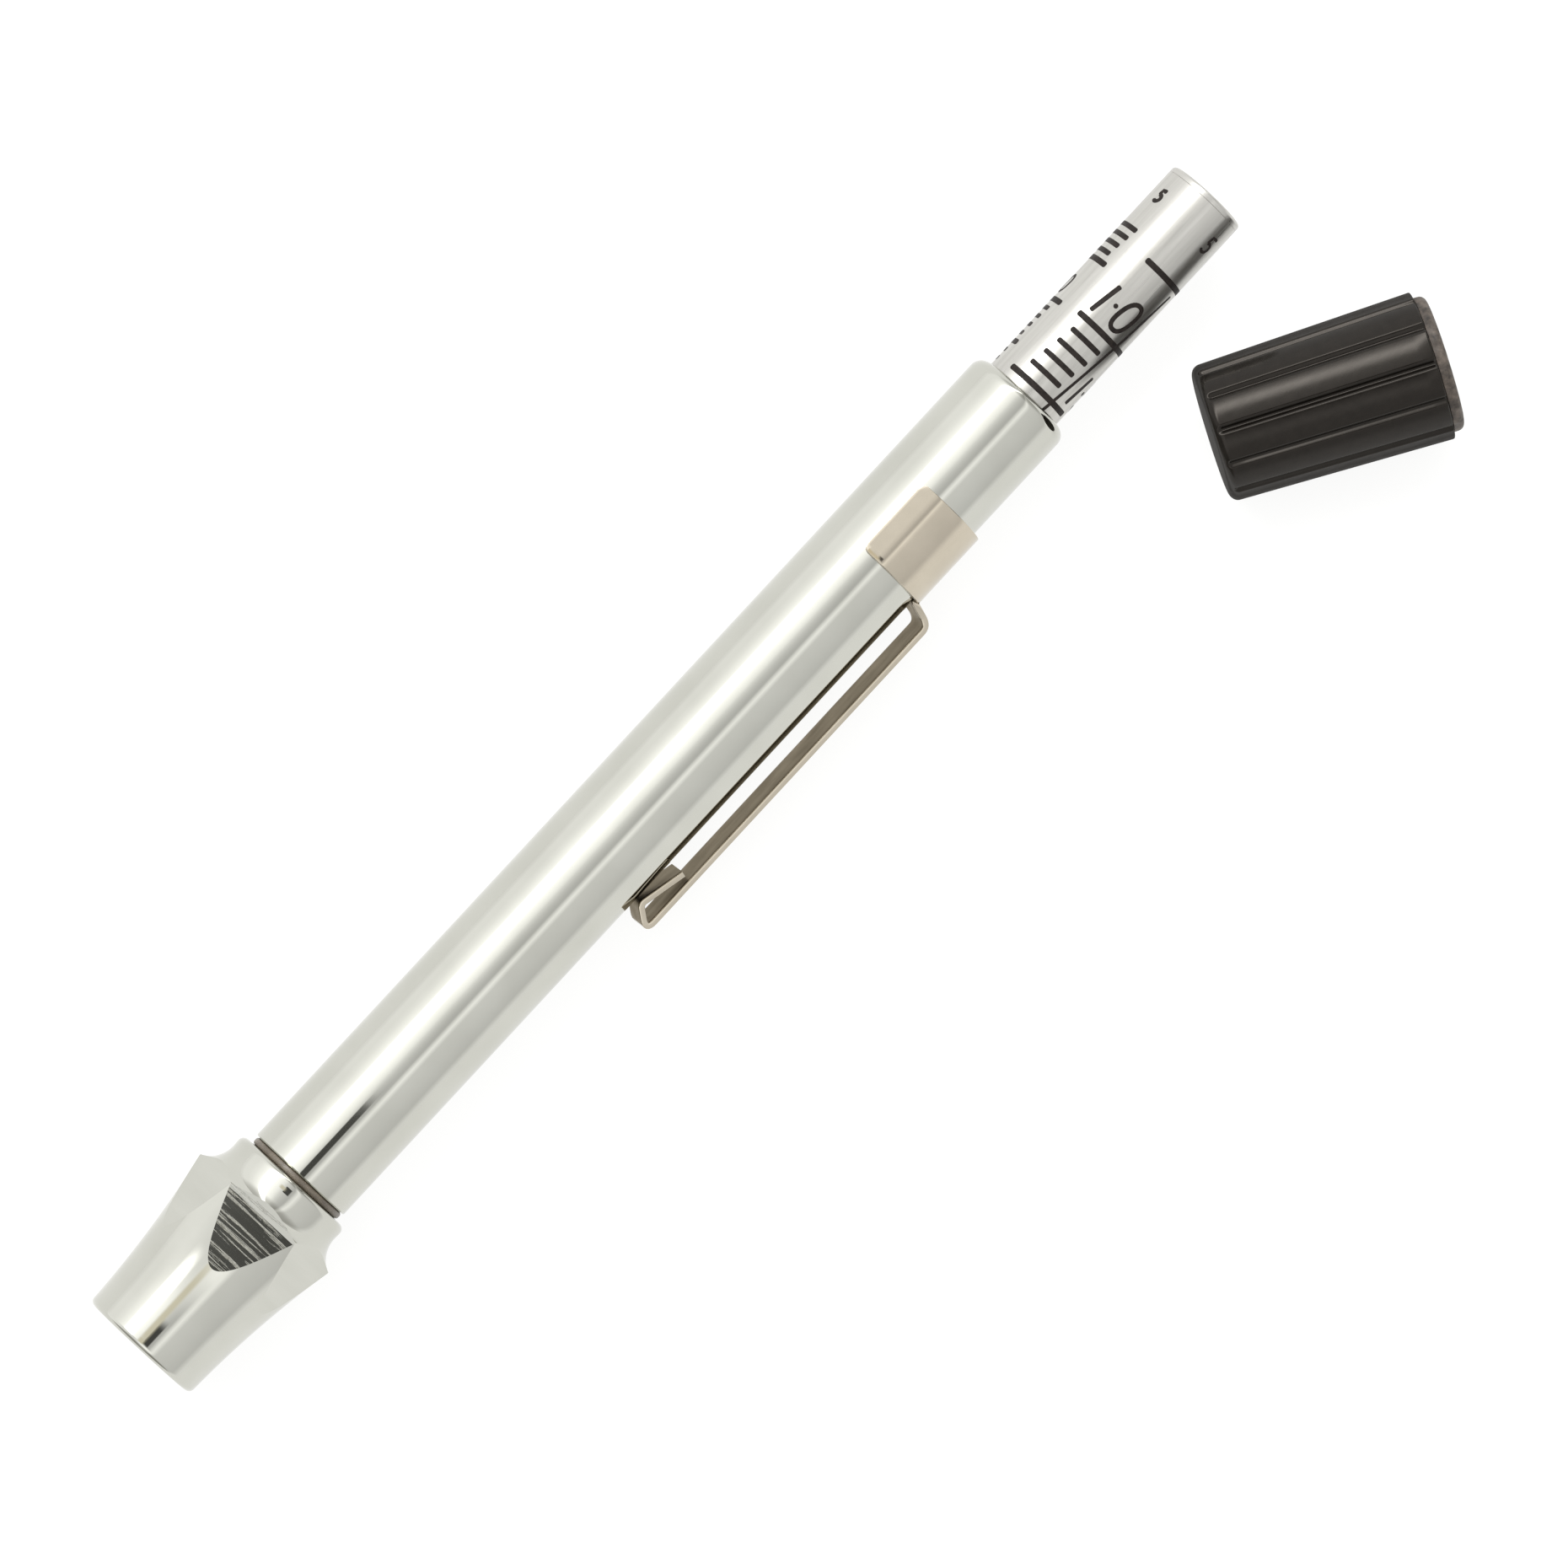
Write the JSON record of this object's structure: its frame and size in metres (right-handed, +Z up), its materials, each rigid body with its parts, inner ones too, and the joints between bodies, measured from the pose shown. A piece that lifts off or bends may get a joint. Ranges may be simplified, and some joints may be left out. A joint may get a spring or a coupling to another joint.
{
  "type": "tire pressure gauge",
  "caption": "Pencil tire pressure gauge with a chromed hexagon head, round barrel, sliding printed scale tube, pocket clip and a loose fluted end cap.",
  "frame": {"origin": "centre of the valve socket's mouth, on the barrel's axis", "axes": "+X along the barrel from the head to the scale tube's end, +Y away from the pocket clip, +Z up when the gauge lies on a flat of its head"},
  "size_m": [0.1547, 0.0408, 0.0145],
  "materials": {
    "chrome": "polished chrome plate over brass",
    "nickel": "polished nickel plate, slightly warm",
    "scale_metal": "satin drawn aluminium",
    "brass": "turned",
    "spring_steel": "drawn",
    "rubber": "matt",
    "brown_rubber": "worn, mottled",
    "fibre": "pressed fibre",
    "felt": "felt",
    "nylon": "natural",
    "black_plastic": "satin moulded, fluted"
  },
  "bodies": {
    "barrel": {"head": "chrome", "barrel_tube": "chrome", "joint_washer": "fibre", "valve_gasket": "rubber", "valve_pin": "brass", "pin_carrier": "brass", "main_spring": "spring_steel", "spring_seat": "spring_steel", "friction_ring": "felt", "guide_bush": "nylon", "pocket_clip": "nickel"},
    "piston": {"piston_body": "brass", "piston_cup": "rubber", "cup_spreader": "spring_steel", "cup_washer": "spring_steel", "piston_screw": "spring_steel"},
    "scale": {"scale_tube": "scale_metal", "scale_foot": "scale_metal", "scale_end_plug": "scale_metal"},
    "cap": {"end_cap": "black_plastic", "cap_liner": "brown_rubber"}
  },
  "joints": [
    {"name": "scale_slide", "type": "slide", "parent": "barrel", "child": "scale", "axis": [1, 0, 0], "range_m": [-0.0256, 0.03]},
    {"name": "piston_slide", "type": "slide", "parent": "barrel", "child": "piston", "axis": [1, 0, 0], "range_m": [-0.0256, 0.03], "deforming": ["main_spring"]},
    {"name": "cap_lift", "type": "slide", "parent": "barrel", "child": "cap", "axis": [0, 0, 1], "range_m": [0, 0.03]}
  ],
  "couplings": [
    {"joint": "piston_slide", "follows": "scale_slide", "ratio": 1}
  ]
}
